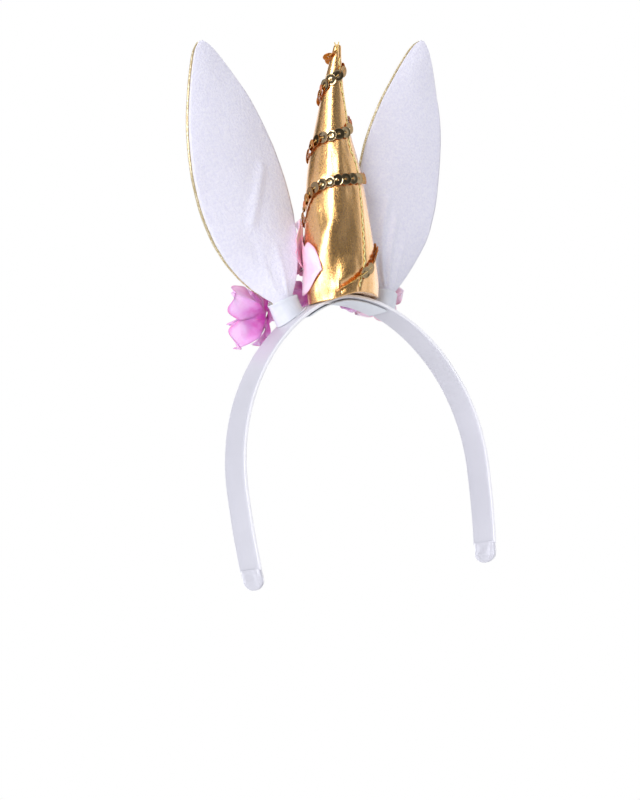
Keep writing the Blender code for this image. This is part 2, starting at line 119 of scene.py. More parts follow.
HORN_SEAM = (
    # share of the horn's height, turns from the wearer's left side
    (0.020, 0.240),
    (0.065, 0.260),
    (0.125, 0.276),
    (0.245, 0.288),
    (0.370, 0.304),
    (0.490, 0.316),
    (0.540, 0.308),
    (0.580, 0.290),
    (0.660, 0.316),
    (0.750, 0.336),
    (0.850, 0.292),
    (1.000, 0.250),
)
HORN_CREASES = (
    # from and to as (turn, share), then depth and width in mm; a fold that stands out has a negative depth
    (-0.02, 0.00, 0.10, 0.26, -1.0, 6.0),
    (0.10, 0.04, 0.19, 0.24, 0.5, 5.0),
    (0.16, 0.03, 0.30, 0.12, -0.4, 3.5),
    (0.20, 0.16, 0.24, 0.40, 0.6, 4.0),
    (0.04, 0.45, 0.09, 0.30, 0.4, 3.0),
    (0.19, 0.48, 0.21, 0.62, -0.4, 3.0),
    (0.60, 0.05, 0.68, 0.28, 0.9, 5.0),
    (0.85, 0.02, 0.78, 0.20, 0.8, 5.0),
)
HORN_PROBE = 0.0005
FOIL_UNDER_RINGS = (0.94, 0.8, 0.6, 0.4, 0.2, 0.03)
FOIL_CROWN_RINGS = (
    # share of the tip's ring, rise in mm
    (0.80, 0.7),
    (0.50, 1.1),
    (0.05, 1.3),
)
# Depths of the foil's grooves, folds and seam are in mm, and widths in metres
FOIL_GROOVE = 0.7
FOIL_LOW_GROOVE = 0.5
FOIL_LOW_UNTIL = 0.30
FOIL_GROOVE_WIDTH = 2.6 * MM
FOIL_FOLD = 0.35
FOIL_FOLD_WIDTH = 7.0 * MM
FOIL_FINE_FOLD = 0.12
FOIL_FINE_FOLD_WIDTH = 2.5 * MM
FOIL_FOLD_SLENDERNESS = 0.22
SEAM_CALM = 0.6
SEAM_CALM_WIDTH = 3.0 * MM
SEAM_RIDGE = 0.30
SEAM_RIDGE_WIDTH = 2.4 * MM
SEAM_TUCK = 0.55
SEAM_TUCK_WIDTH = 0.8 * MM
STITCH_SAMPLES = 3000
STITCH_SPAN = (0.12, 0.88)
STITCH_LEAN = 0.35 * MM
STITCH_LIFT = 0.30 * MM
STITCH_LENGTH = 2.3 * MM
STITCH_RADIUS = 0.40 * MM

# Sequins on their thread
SEQUIN_DIAMETER = 6.0 * MM
SEQUIN_PITCH = 4.3 * MM
SEQUIN_THICKNESS = 0.7 * MM
SEQUIN_TILT = math.radians(9.0)
SEQUIN_STAND_OFF = 0.75 * MM
STRING_TURNS = (
    # turns from the wearer's left side, share of the horn's height
    (0.15, 0.030),
    (0.22, 0.050),
    (0.29, 0.085),
    (0.40, 0.165),
    (0.65, 0.255),
    (0.92, 0.345),
    (0.98, 0.400),
    (1.04, 0.435),
    (1.15, 0.452),
    (1.33, 0.455),
    (1.65, 0.525),
    (1.94, 0.603),
    (2.04, 0.633),
    (2.26, 0.648),
    (2.35, 0.675),
    (2.90, 0.820),
    (3.14, 0.873),
    (3.40, 0.907),
    (3.90, 0.962),
    (4.17, 0.980),
)

SEQUIN_PROFILE = (
    # radius and height of a sequin's wall, as shares of its radius, from its hole to its rim
    (0.17, 0.030),
    (0.24, 0.000),
    (0.60, 0.004),
    (0.90, 0.014),
    (1.00, 0.040),
)
SEQUIN_ROLLS = (
    # turns from the wearer's left side, degrees that the sequins lean over on their thread, and how far
    # they sink into its fold, in mm
    (0.150, 88.0, 2.2),
    (0.200, 80.0, 2.2),
    (0.250, 68.0, 2.0),
    (0.272, 14.0, 0.3),
    (0.312, 10.0, 0.2),
    (0.335, 40.0, 0.8),
    (0.420, 30.0, 0.4),
    (0.600, 0.0, 0.0),
    (3.600, 0.0, 0.0),
    (3.850, -66.0, 0.0),
    (4.200, -50.0, 0.0),
)
SEQUIN_SIDES = 24
SEQUIN_WALL = 0.16 * MM
SEQUIN_LIFT = 0.25 * MM
SEQUIN_TILT_SPREAD = 0.07
SEQUIN_ROLL_SPREAD = 0.08
STRING_SAMPLES = 4000
THREAD_SAMPLES = 900
THREAD_LIFT = 0.15 * MM
THREAD_RADIUS = 0.22 * MM
THREAD_END_RADIUS = 0.3 * MM
THREAD_END_LENGTH = 4.5 * MM
THREAD_END_LEANS = ((0.30, 0.10, 1.0), (-0.10, 0.35, 1.0))

# Ears, as in the part
EAR_FELT_THICKNESS = 1.6 * MM
EAR_GLITTER_THICKNESS = 1.1 * MM
EAR_BOW = 7.0 * MM
EAR_CUP = 3.0 * MM
EAR_PINCH = 2.2 * MM
EAR_PINCH_UNTIL = 0.35
EAR_TWIST = math.radians(16.0)
EAR_TWIST_UNTIL = 0.30
EAR_SECTIONS = (
    # share of the length above the band, share of the greatest half width
    (-0.040, 0.200),
    (0.035, 0.205),
    (0.072, 0.215),
    (0.100, 0.330),
    (0.140, 0.500),
    (0.205, 0.700),
    (0.275, 0.860),
    (0.350, 0.960),
    (0.450, 1.000),
    (0.560, 0.970),
    (0.640, 0.900),
    (0.710, 0.810),
    (0.770, 0.710),
    (0.830, 0.580),
    (0.890, 0.440),
    (0.945, 0.290),
    (0.980, 0.170),
    (1.000, 0.050),
)
EAR_HALF_WIDTH = 28.0 * MM
EAR_FOOT_SPREAD = 31.0 * MM
EAR_TIP_SPREAD = 70.0 * MM
EAR_TIP_HEIGHT = 133.8 * MM
EAR_TIP_BACK = 5.5 * MM
Ear = namedtuple("Ear", "side width foot spread height bulge")
EARS = {
    # direction along X, then shares of the half width, foot spread, tip spread and tip height, and the
    # outward bulge of the middle line as a share of the half width
    "left": Ear(1.0, 1.0, 1.0, 1.0, 1.0, 0.0),
    "right": Ear(-1.0, 0.914, 0.952, 1.014, 1.004, 0.054),
}

EAR_DENT_DEPTH = 0.6 * MM
EAR_DENT_SIZE = 24.0 * MM
FELT_INSET = 0.9 * MM
EAR_CREASES = (
    # ear, from and to as (across, share), where 1 is the outer edge, then depth and width in mm
    ("left", 0.10, 0.36, -0.50, 0.52, 0.9, 2.8),
    ("left", 0.10, 0.20, 0.30, 0.30, -0.5, 5.0),
    ("left", -0.35, 0.10, -0.30, 0.24, 0.5, 2.6),
    ("left", 0.30, 0.12, 0.10, 0.24, 0.4, 3.0),
    ("right", -0.50, 0.10, -0.30, 0.40, 1.2, 1.8),
    ("right", -0.15, 0.10, -0.05, 0.34, 1.0, 2.0),
    ("right", 0.35, 0.12, 0.30, 0.26, 0.5, 2.4),
    ("right", -0.60, 0.40, -0.10, 0.55, 0.4, 6.0),
)

# Ribbons round the feet of the ears
TAB_TOP = 0.070
TAB_REACH = 12.0 * MM
TAB_HALF_DEPTH = 3.3 * MM
TAB_WIDTH_SHARE = 1.2
TAB_SQUARENESS = 0.7
TAB_LAP_FROM = math.radians(165.0)
TAB_LAPS = 1.12
TAB_LAP_GROWTH = 0.14
TAB_HEM_FROM = 0.060
TAB_HEM_GROWTH = 0.05
TAB_RIBBON_WALL = 0.35 * MM
TAB_UV_SIZE = (30.0 * MM, 12.0 * MM)

# Flowers, as in the part
PETALS = 5
PETAL_THICKNESS = 0.35 * MM
PETAL_CURL = 1.8
PETAL_WIDTH = 1.65
PETAL_BASE = 0.24
SPREAD_BASE = 0.42
SPREAD_FLATNESS = 0.3
PETAL_RUFFLE = 0.11
PETAL_CREASE = -0.20
PETAL_CREASE_WIDTH = 0.18
PETAL_CUP = 0.12
PETAL_CUP_SPREAD = 0.45
PETAL_HELD_SHARE = 0.6
PETAL_CLEARANCE = 1.0 * MM
LAYER_GAP = 1.4 * MM
FLOWER_EYE = 0.08
PETAL_LENGTH = 20.0 * MM
FLOWER_STAND_OFF = 1.0 * MM
Flower = namedtuple("Flower", "seat place facing colour petal inner spin notch lift inner_lift lengths")
# The columns are those of the part: places on an ear are shares of the petal length from its foot, and
# places on the horn are a turn and a share.
FLOWERS = {
    "left_outer": Flower("left", (0.265, 0.235, 0.170), (0.60, -0.76, 0.22), "orchid", 1.15, 0.70,
                         14.0, 0.60, 0.40, 0.85, (1.0, 0.95, 1.0, 0.9, 1.0)),
    "left_inner": Flower("horn", (-0.140, 0.165), None, "blush", 1.35, 0.375,
                         -18.0, 0.40, 0.05, 0.35, (1.0, 0.77, 0.53, 0.34, 0.38)),
    "middle": Flower("horn", (-0.195, 0.020), (0.25, -0.96, 0.05), "orchid", 0.70, 0.45,
                     18.0, 0.50, 0.45, 0.90, (1.0, 0.9, 1.0, 1.0, 0.95)),
    "right_inner": Flower("horn", (-0.365, 0.050), (-0.60, -0.80, 0.05), "orchid", 0.70, 0.45,
                          -12.0, 0.50, 0.45, 0.90, (0.95, 1.0, 0.9, 1.0, 1.0)),
    "right_outer": Flower("right", (0.275, 0.093, 0.380), (-0.50, -0.84, 0.20), "blush", 0.75, 0.55,
                          30.0, 0.50, 0.40, 0.90, (0.95, 1.0, 0.9, 1.0, 1.0)),
}
PETAL_OUTLINE = (
    # share of the petal's length, half width as a share of the length
    (0.00, 0.05),
    (0.15, 0.17),
    (0.35, 0.31),
    (0.52, 0.37),
    (0.68, 0.32),
    (0.82, 0.20),
    (0.93, 0.09),
    (1.00, 0.01),
)

# Camera: where it stands round the headband, and how it rolls
CAMERA_AZIMUTH = math.radians(143.25)
CAMERA_ELEVATION = math.radians(-5.51)
CAMERA_ROLL = math.radians(-7.28)
CAMERA_DISTANCE = 1.6
CAMERA_AIM_RIGHT = -9.54 * MM
CAMERA_AIM_UP = -50.9 * MM
CAMERA_LENS = 140.4
CAMERA_SENSOR = 36.0
FLOOR_DEPTH = 0.45
CUT_SAMPLES = 400
WOBBLE_GAIN = 1.6
WOBBLE_SHIFTS = (0.0, 17.3, 41.9)
FLOOR_RADIUS = 1.1

Lamp = namedtuple("Lamp", "azimuth elevation inner outer strength")
LAMPS = (
    # azimuth and elevation seen from the headband, full and fading half angles, all in degrees; strength
    Lamp(323.0, 0.0, 40.0, 62.0, 1.15),
    Lamp(134.0, 20.0, 6.0, 10.0, 10.0),
    Lamp(129.0, 8.0, 6.0, 10.0, 11.0),
    Lamp(113.0, 2.0, 5.0, 9.0, 9.0),
    Lamp(97.0, 0.0, 5.0, 11.0, 9.0),
    Lamp(60.0, -5.0, 12.0, 30.0, 0.7),
    Lamp(245.0, 3.0, 18.0, 42.0, 0.95),
    Lamp(143.0, 0.0, 40.0, 75.0, 0.22),
    Lamp(158.0, 0.0, 14.0, 32.0, -0.2),
    Lamp(143.0, 82.0, 25.0, 60.0, 0.95),
)
STUDIO_GLOOM = 0.08
LAMP_COLOUR = (0.985, 0.985, 1.05, 1.0)
BACKDROP_COLOUR = (1.0, 1.0, 1.0, 1.0)


def smooth(x, table, column=1):
    """A smooth curve through a table's rows, with no overshoot between them."""
    xs = np.array([row[0] for row in table])
    ys = np.array([row[column] for row in table])
    step = np.diff(xs)
    slope = np.diff(ys) / step
    before, after = slope[:-1], slope[1:]
    level = before * after <= 0.0
    inner = np.where(level, 0.0, 2.0 * before * after / np.where(level, 1.0, before + after))
    tangent = np.concatenate([[slope[0]], inner, [slope[-1]]])
    x = np.clip(x, xs[0], xs[-1])
    i = np.clip(np.searchsorted(xs, x, side="right") - 1, 0, len(step) - 1)
    t = (x - xs[i]) / step[i]
    hold = (1.0 + 2.0 * t) * (1.0 - t) ** 2 * ys[i] + t ** 2 * (3.0 - 2.0 * t) * ys[i + 1]
    lean = t * (1.0 - t) ** 2 * tangent[i] - t ** 2 * (1.0 - t) * tangent[i + 1]
    return hold + lean * step[i]


def arch_line():
    """Points (distance along the arch, x, z) of the band's inner face, from the crown to the left end."""
    turn = np.linspace(0.0, math.pi / 2, ARCH_SAMPLES)
    drop = np.linspace(0.0, 1.0, ARCH_SAMPLES)[1:]
    x = np.concatenate([BAND_INNER_HALF_SPAN * np.sin(turn) ** CROWN_SHARPNESS,
                        BAND_INNER_HALF_SPAN - BAND_TOE_IN * drop ** 2])
    z = -np.concatenate([BAND_CROWN_DEPTH * (1.0 - np.cos(turn)),
                         BAND_CROWN_DEPTH + (BAND_HEIGHT - BAND_CROWN_DEPTH) * drop])
    steps = np.hypot(np.diff(x), np.diff(z))
    return np.concatenate([[0.0], np.cumsum(steps)]), x, z


ARCH_ALONG, ARCH_X, ARCH_Z = arch_line()
ARCH_LENGTH = ARCH_ALONG[-1]


def arch_point(along, y, out):
    """Points at distances along the arch, y across the band and out from its inner face."""
    along, y, out = np.broadcast_arrays(along, y, out)
    side = np.where(along >= 0.0, 1.0, -1.0)
    here = np.minimum(np.abs(along), ARCH_LENGTH - PROBE_LENGTH)
    ahead = here + PROBE_LENGTH
    x, z = np.interp(here, ARCH_ALONG, ARCH_X), np.interp(here, ARCH_ALONG, ARCH_Z)
    dx = np.interp(ahead, ARCH_ALONG, ARCH_X) - x
    dz = np.interp(ahead, ARCH_ALONG, ARCH_Z) - z
    size = np.hypot(dx, dz)
    past = np.abs(along) - here
    x, z = x + dx / size * past, z + dz / size * past
    return np.stack([side * (x - out * dz / size), y, z + out * dx / size], axis=-1)


def arch_height(x, out):
    """The height of the face that lies out from the band's inner face, at x from the middle."""
    along = np.interp(np.abs(x), ARCH_X[:ARCH_SAMPLES], ARCH_ALONG[:ARCH_SAMPLES])
    point = arch_point(along, 0.0, out)
    slope = arch_point(along + PROBE_LENGTH, 0.0, out) - point
    return point[..., 2] + (np.abs(x) - point[..., 0]) * slope[..., 2] / slope[..., 0]


def horn_middle_y(share):
    curl = np.maximum(0.0, share - HORN_CURL_FROM) / (1.0 - HORN_CURL_FROM)
    return HORN_SET_BACK + HORN_LEAN_BACK * share + HORN_CURL_BACK * curl ** 2


def horn_foot_height(x, y):
    past = np.clip((np.abs(y) - BAND_WIDTH / 2) / HORN_DROOP_REACH, 0.0, 1.0)
    return arch_height(x, BAND_THICKNESS + HORN_SEAT_GAP) - HORN_OVERHANG_DROOP * past


def horn_point(turn, share):
    """Points on the horn's side."""
    turn, share = np.broadcast_arrays(np.asarray(turn, float), np.asarray(share, float))
    across = HORN_RADIUS * smooth(share, HORN_SECTIONS)
    roundness = np.minimum(1.0, share / HORN_ROUND_FROM)
    deep = across * (HORN_DEPTH_SHARE + (1.0 - HORN_DEPTH_SHARE) * roundness)
    x = across * np.cos(math.tau * turn)
    y = horn_middle_y(share) + deep * np.sin(math.tau * turn)
    saddle = np.maximum(0.0, 1.0 - share / HORN_SADDLE_UNTIL)
    foot = horn_foot_height(x, y) - horn_foot_height(0.0, 0.0)
    z = BAND_THICKNESS + HORN_HEIGHT * share + HORN_SEAT_GAP + foot * saddle
    return np.stack([x, y, z], axis=-1)


def blunt(wave, power):
    """A sine or cosine with its size raised to a power and its sign kept, to square a ring off."""
    return np.sign(wave) * np.abs(wave) ** power


def length_along(path):
    """The length of a path from its start to each of its points."""
    return np.concatenate([[0.0], np.cumsum(np.linalg.norm(np.diff(path, axis=0), axis=1))])


def unit(vectors):
    return vectors / np.linalg.norm(vectors, axis=-1, keepdims=True)


def horn_normal(turn, share):
    around = horn_point(turn + HORN_PROBE, share) - horn_point(turn - HORN_PROBE, share)
    above, below = np.minimum(1.0, share + HORN_PROBE), np.maximum(0.0, share - HORN_PROBE)
    return unit(np.cross(around, horn_point(turn, above) - horn_point(turn, below)))


def ripple(points, size, seed=0.0):
    """Smooth noise from -1 to 1 at each point, with features about as wide as size."""
    shift = Vector((seed, 1.7 * seed, 2.3 * seed))
    values = [noise.noise(Vector(point) / size + shift) for point in points.reshape(-1, 3)]
    return np.array(values).reshape(points.shape[:-1])


def wobble_at(place):
    """Three smooth random numbers at a place, mostly from -1 to 1."""
    return Vector([noise.noise(Vector(place) + Vector((shift, -shift, 2.0 * shift))) * WOBBLE_GAIN
                   for shift in WOBBLE_SHIFTS])


def grid_of(down, across):
    """Two grids: one with a value for each row, one with a value for each column."""
    return np.meshgrid(down, across, indexing="ij")


def grid_normals(points, closed=False):
    if closed:
        across = np.roll(points, -1, axis=1) - np.roll(points, 1, axis=1)
    else:
        across = np.gradient(points, axis=1)
    return unit(np.cross(across, np.gradient(points, axis=0)))


def grid_mesh(name, points, closed=False, size=(1.0, 1.0)):
    """A mesh from a grid of points, with UVs over size; closed joins its last column to its first."""
    rows, columns = points.shape[:2]
    index = np.arange(rows * columns).reshape(rows, columns)
    if closed:
        index = np.concatenate([index, index[:, :1]], axis=1)
    u, v = np.meshgrid(np.linspace(0.0, size[0], index.shape[1]), np.linspace(0.0, size[1], rows))
    uv = np.stack([u, v], axis=-1)
    corners = np.stack([index[:-1, :-1], index[:-1, 1:], index[1:, 1:], index[1:, :-1]], axis=-1)
    corner_uvs = np.stack([uv[:-1, :-1], uv[:-1, 1:], uv[1:, 1:], uv[1:, :-1]], axis=2)
    mesh = bpy.data.meshes.new(name)
    mesh.from_pydata(points.reshape(-1, 3).tolist(), [], corners.reshape(-1, 4).tolist())
    mesh.uv_layers.new(name="UVMap").data.foreach_set("uv", corner_uvs.ravel())
    mesh.shade_smooth()
    return mesh


def mesh_from(bm, name):
    mesh = bpy.data.meshes.new(name)
    bm.to_mesh(mesh)
    bm.free()
    return mesh


def add_piece(mesh, material, replaced=()):
    piece = bpy.data.objects.new(mesh.name, mesh)
    mesh.materials.append(material)
    bpy.context.scene.collection.objects.link(piece)
    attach(piece, "root")
    if replaced:
        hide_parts(*replaced)
    return piece


def thicken(piece, thickness):
    wall = piece.modifiers.new("wall", "SOLIDIFY")
    wall.thickness = thickness
    wall.offset = 0.0
    return piece


def add_node(tree, kind, inputs=(), **settings):
    """A node in a tree, with its sockets linked or set and its settings made."""
    made = tree.nodes.new(kind)
    for setting, value in settings.items():
        setattr(made, setting, value)
    for socket, value in dict(inputs).items():
        if isinstance(value, bpy.types.NodeSocket):
            tree.links.new(value, made.inputs[socket])
        else:
            made.inputs[socket].default_value = value
    return made


class Look:
    """A Principled material and short ways to add its nodes."""

    def __init__(self, name, **sockets):
        self.material = bpy.data.materials.new(name)
        self.material.use_nodes = True
        self.tree = self.material.node_tree
        self.shader = self.tree.nodes["Principled BSDF"]
        for socket, value in sockets.items():
            self.shader.inputs[socket.replace("_", " ")].default_value = value

    def node(self, kind, inputs=(), **settings):
        return add_node(self.tree, kind, inputs, **settings)

    def math(self, operation, *values):
        return self.node("ShaderNodeMath", enumerate(values), operation=operation).outputs[0]

    def coordinates(self, kind, scale=(1.0, 1.0, 1.0)):
        place = self.node("ShaderNodeTexCoord")
        return self.node("ShaderNodeMapping", {"Vector": place.outputs[kind], "Scale": scale}).outputs[0]

    def noise(self, vector, scale=1.0, detail=2.0, roughness=0.5):
        made = self.node("ShaderNodeTexNoise", {"Vector": vector, "Scale": scale, "Detail": detail,
                                                "Roughness": roughness})
        return made.outputs["Fac"]

    def ramp(self, factor, *stops):
        made = self.node("ShaderNodeValToRGB", {"Fac": factor})
        elements = made.color_ramp.elements
        while len(elements) < len(stops):
            elements.new(0.5)
        for element, (position, colour) in zip(elements, stops):
            element.position = position
            element.color = (*colour, 1.0) if isinstance(colour, tuple) else (colour, colour, colour, 1.0)
        return made.outputs["Color"]

    def bump(self, *layers):
        """Layers of (height, distance in metres, strength), the coarse ones first."""
        normal = None
        for height, distance, strength in layers:
            inputs = {"Height": height, "Distance": distance, "Strength": strength}
            if normal is not None:
                inputs["Normal"] = normal
            normal = self.node("ShaderNodeBump", inputs).outputs["Normal"]
        self.join(normal, "Normal")

    def join(self, output, socket):
        self.tree.links.new(output, self.shader.inputs[socket])


def gold_look():
    """Foil printed on a knit: bright, with a fine broken grain."""
    look = Look("gold_foil", Metallic=1.0, Coat_Weight=1.0, Coat_IOR=2.2, Coat_Roughness=0.24)
    place = look.coordinates("Object", (1.0, 1.0, 0.6))
    fine = look.noise(place, 1700.0, 3.0, 0.65)
    coarse = look.noise(place, 520.0, 3.0, 0.6)
    cloudy = look.noise(look.coordinates("Object", (1.0, 1.0, 0.35)), 110.0, 3.0)
    look.join(look.ramp(fine, (0.30, (0.82, 0.40, 0.08)), (0.70, (0.97, 0.57, 0.17))), "Base Color")
    look.join(look.ramp(fine, (0.3, 0.24), (0.7, 0.34)), "Roughness")
    look.bump((cloudy, 1.2 * MM, 0.25), (coarse, 0.30 * MM, 0.40), (fine, 0.16 * MM, 0.60))
    return look.material


def sequin_look():
    """Mirror film on clear orange plastic, which shows at a glancing angle."""
    look = Look("sequin_film", Metallic=1.0, Roughness=0.04, Coat_Weight=0.3, Coat_Roughness=0.02,
                Base_Color=(0.36, 0.27, 0.14, 1.0), Specular_Tint=(0.95, 0.28, 0.02, 1.0))
    return look.material


def sequin_back_look():
    """The clear orange plastic of a sequin's back and edge."""
    look = Look("sequin_back", Metallic=0.35, Roughness=0.15, Base_Color=(0.55, 0.19, 0.02, 1.0))
    return look.material


def thread_look(name, colour):
    look = Look(name, Roughness=0.4, Sheen_Weight=0.5)
    twist = look.noise(look.coordinates("Object"), 3000.0)
    deep = tuple(0.7 * part for part in colour)
    look.join(look.ramp(twist, (0.3, deep), (0.7, colour)), "Base Color")
    return look.material


def satin_look():
    """Satin with a painted highlight: near white along the edges where it folds round the band, as if lit
    there.
    """
    look = Look("white_satin", Roughness=0.34, Sheen_Weight=0.25, Specular_IOR_Level=0.6)
    threads = look.noise(look.coordinates("UV", (2600.0, 260.0, 1.0)), 1.0, 1.0)
    soft = look.noise(look.coordinates("UV", (60.0, 25.0, 1.0)), 1.0, 2.0)
    around = look.coordinates("UV", (1.0 / (2.0 * (BAND_WIDTH + BAND_THICKNESS)), 1.0, 1.0))
    turn = look.node("ShaderNodeSeparateXYZ", {"Vector": around}).outputs["X"]
    # Painted highlight: this ramp turns the colour near white along both long edges of the band, in place of
    # light caught there.
    face, edge = 0.0, 1.0
    folds = look.ramp(turn, (0.03, edge), (0.10, face), (0.40, face), (0.46, edge), (0.54, edge),
                      (0.60, face), (0.90, face), (0.97, edge))
    cloth = look.ramp(soft, (0.3, (0.58, 0.58, 0.62)), (0.7, (0.64, 0.64, 0.68)))
    satin_with_painted_highlight = look.node("ShaderNodeMix", {0: folds, 6: cloth, 7: (0.95, 0.95, 0.96, 1.0)}, data_type="RGBA")
    look.join(satin_with_painted_highlight.outputs[2], "Base Color")
    look.join(look.ramp(threads, (0.3, 0.30), (0.7, 0.42)), "Roughness")
    return look.material


def smooth_ribbon_look():
    look = Look("smooth_ribbon", Roughness=0.45, Sheen_Weight=0.2)
    soft = look.noise(look.coordinates("Object"), 300.0, 2.0)
    weave = look.noise(look.coordinates("UV", (3000.0, 1200.0, 1.0)), 1.0, 1.0)
    look.join(look.ramp(soft, (0.3, (0.72, 0.75, 0.80)), (0.7, (0.80, 0.82, 0.86))), "Base Color")
    look.bump((soft, 0.3 * MM, 0.25), (weave, 0.03 * MM, 0.2))
    return look.material


def ribbon_look():
    """Ribbon with fine ribs across it."""
    look = Look("ribbed_ribbon", Roughness=0.5, Sheen_Weight=0.2)
    ribs = look.node("ShaderNodeTexWave", {"Vector": look.coordinates("UV"), "Scale": 330.0,
                                           "Distortion": 0.4}, bands_direction="X").outputs["Fac"]
    look.join(look.ramp(ribs, (0.0, (0.70, 0.73, 0.75)), (1.0, (0.80, 0.83, 0.86))), "Base Color")
    look.bump((ribs, 0.12 * MM, 0.4))
    return look.material


def felt_look():
    look = Look("white_felt", Roughness=0.95, Sheen_Weight=0.35, Sheen_Roughness=0.6)
    place = look.coordinates("Object")
    fibres = look.noise(place, 750.0, 4.0, 0.7)
    patches = look.noise(place, 190.0, 3.0, 0.6)
    look.join(look.ramp(fibres, (0.3, (0.82, 0.81, 0.93)), (0.7, (0.96, 0.95, 1.0))), "Base Color")
    look.bump((patches, 0.9 * MM, 0.35), (fibres, 0.5 * MM, 0.8))
    return look.material


def glitter_look():
    look = Look("gold_glitter", Metallic=0.7, Roughness=0.35)
    place = look.coordinates("Object")
    flakes = look.node("ShaderNodeTexVoronoi", {"Vector": place, "Scale": 2200.0})
    tone = look.node("ShaderNodeSeparateColor", {"Color": flakes.outputs["Color"]}).outputs["Red"]
    look.join(look.ramp(tone, (0.1, (0.55, 0.42, 0.20)), (0.6, (0.78, 0.66, 0.38)), (0.95, (1.0, 0.93, 0.7))),
              "Base Color")
    look.bump((tone, 0.15 * MM, 0.8))
    return look.material


def petal_look(name, deep, middle, light):
    """Thin cloth petals, dyed deepest at the heart, with faint veins along each petal."""
    look = Look(name, Roughness=0.7, Sheen_Weight=0.3, Subsurface_Weight=0.15, Subsurface_Scale=0.5 * MM)
    place = look.node("ShaderNodeSeparateXYZ", {"Vector": look.node("ShaderNodeTexCoord").outputs["UV"]})
    apart = look.math("ABSOLUTE", look.math("SUBTRACT", place.outputs["X"], 0.5))
    veins = look.noise(look.coordinates("UV", (26.0, 1.5, 1.0)), 1.0, 2.0)
    cloudy = look.noise(look.coordinates("Object"), 170.0, 2.0)
    along = look.math("ADD", place.outputs["Y"], cloudy)
    shade = look.math("MULTIPLY", look.math("MULTIPLY_ADD", apart, 0.9, along), 0.62)
    cloth = look.ramp(shade, (0.45, deep), (0.75, middle), (1.0, light))
    rim = look.ramp(apart, (0.43, 0.0), (0.49, 0.55))
    dyed = look.node("ShaderNodeMix", {0: rim, 6: cloth, 7: (*deep, 1.0)}, data_type="RGBA")
    look.join(dyed.outputs[2], "Base Color")
    look.bump((veins, 0.3 * MM, 0.5))
    return look.material


def sleeve_length():
    return 2.0 * (ARCH_LENGTH - TIP_LENGTH + SLEEVE_LAP)


def make_band(satin):
    """The satin sleeve over the band, slightly slack over its core."""
    half = sleeve_length() / 2.0
    along = np.linspace(-half, half, 421)[:, None]
    turn = np.linspace(0.0, math.tau, 48, endpoint=False)[None, :]
    y = blunt(np.cos(turn), SLEEVE_WIDTH_POWER) * BAND_WIDTH / 2
    bulge = blunt(np.sin(turn), SLEEVE_BULGE_POWER) * BAND_THICKNESS / 2
    points = arch_point(along, y, BAND_THICKNESS / 2 + bulge)
    slack = ripple(points, SLEEVE_WRINKLE, 3.0) + 0.5 * ripple(points, SLEEVE_FINE_WRINKLE, 8.0)
    points = arch_point(along, y, BAND_THICKNESS / 2 + bulge * (1.0 + SLEEVE_SLACK * slack))
    mesh = grid_mesh("band_sleeve", points, True, (2.0 * (BAND_WIDTH + BAND_THICKNESS), 2.0 * half))
    return add_piece(mesh, satin, ("headband",))


def make_band_end(name, side, satin):
    """Satin gathered into a knot over one end of the band."""
    rows, columns = 40, 96
    top = ARCH_LENGTH - TIP_LENGTH + CLEARANCE
    v = np.linspace(0.0, 1.0, rows)[:, None]
    turn = np.linspace(0.0, 1.0, columns, endpoint=False)[None, :]
    closing = np.maximum(0.0, v - TIP_CLOSE_FROM) ** 2 / TIP_CLOSE_OVER ** 2
    close = np.sqrt(np.clip(1.0 - closing, 0.0, 1.0))
    angle = math.tau * turn
    waves = np.sin(TIP_GATHERS * angle + TIP_GATHER_TWIST * v)
    gathers = 1.0 + TIP_GATHER_DEPTH * waves * np.sin(math.pi * v) ** 0.5
    y = blunt(np.cos(angle), 0.5) * BAND_WIDTH * TIP_HALF_WIDTH_SHARE * close
    out = blunt(np.sin(angle), 0.7) * TIP_THICKNESS / 2 * close * gathers
    along = side * (top + (TIP_LENGTH - CLEARANCE) * v)
    points = arch_point(along, y, BAND_THICKNESS / 2 + out)
    puckers = ripple(points, TIP_PUCKER_SIZE, 6.0) * np.sin(math.pi * np.clip(v, 0.0, 0.97))
    points = points + np.array([side, 0.7, 0.4]) * (TIP_PUCKER_DEPTH * puckers * np.sign(out))[..., None]
    if side > 0.0:
        points = points[:, ::-1]
    mesh = grid_mesh(name + "_satin", points, True, (2.0 * BAND_WIDTH, TIP_LENGTH))
    return add_piece(mesh, satin, (name,))


def make_lining(ribbon):
    along = np.linspace(-LINING_HALF_SPAN, LINING_HALF_SPAN, 121)[:, None]
    y = np.linspace(-0.5, 0.5, 25)[None, :] * LINING_WIDTH
    points = arch_point(along, y, -LINING_GAP - LINING_THICKNESS / 2)
    mesh = grid_mesh("lining_ribbon", points, False, (LINING_WIDTH, 2.0 * LINING_HALF_SPAN))
    return thicken(add_piece(mesh, ribbon, ("ribbon_lining",)), LINING_WALL)


def string_share(turn):
    return smooth(turn, STRING_TURNS)


def string_path(turn):
    """The middle of a sequin on the horn's side, after a number of turns."""
    share = string_share(turn)
    return horn_point(turn, share) + horn_normal(turn, share) * (SEQUIN_STAND_OFF + SEQUIN_THICKNESS / 2)


def string_gap(turn, share):
    """The height between a place on the horn and the nearest pass of the string."""
    first, last = STRING_TURNS[0][0], STRING_TURNS[-1][0]
    gap = np.full(np.broadcast(turn, share).shape, 1.0)
    for lap in range(math.ceil(last) + 1):
        there = turn % 1.0 + lap
        near = np.abs(share - string_share(there)) * HORN_HEIGHT
        gap = np.where((there >= first) & (there <= last), np.minimum(gap, near), gap)
    return gap


def fade(gap, width):
    """One at no gap, falling off smoothly to nothing at about twice the width."""
    return np.exp(-(gap / width) ** 2)


